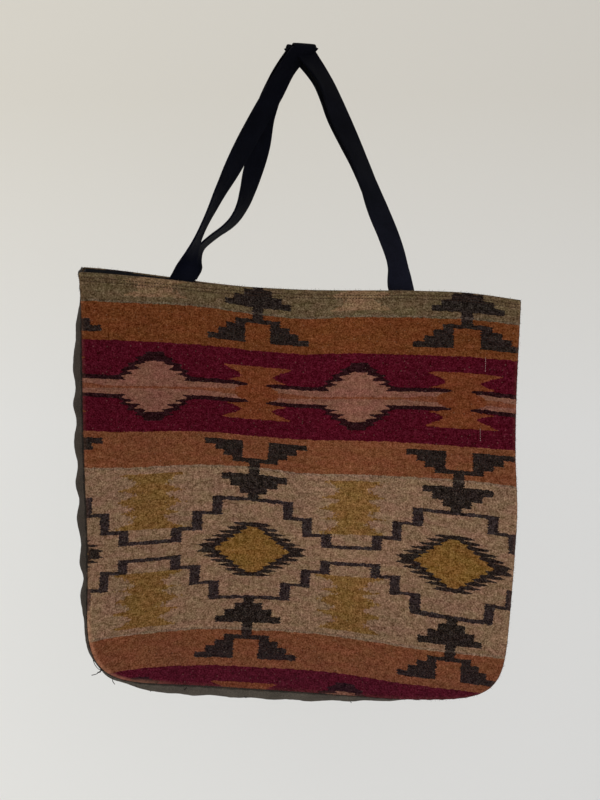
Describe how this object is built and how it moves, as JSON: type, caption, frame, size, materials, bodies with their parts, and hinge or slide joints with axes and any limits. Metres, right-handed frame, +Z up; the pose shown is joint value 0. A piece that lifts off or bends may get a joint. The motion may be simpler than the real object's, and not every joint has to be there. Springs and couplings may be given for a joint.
{
  "type": "tote bag",
  "caption": "Flat cloth tote bag in patterned wool with a twill gusset, a dark lining and strap handles, hanging by its handles.",
  "frame": {"origin": "under the folded tops of the handles, where the bag is hung up", "axes": "+Z up, the front faces -Y, +X to the right as seen from the front"},
  "size_m": [0.4631, 0.055, 0.6804],
  "materials": {
    "wool": "felted wool, patterned in bands",
    "twill": "matt twill",
    "lining": "smooth plain weave",
    "strap": "smooth flat webbing"
  },
  "bodies": {
    "root": {"front_panel": "wool", "back_panel": "wool", "gusset": "twill", "lining": "lining", "handle_front": "strap", "handle_back": "strap"}
  },
  "joints": []
}
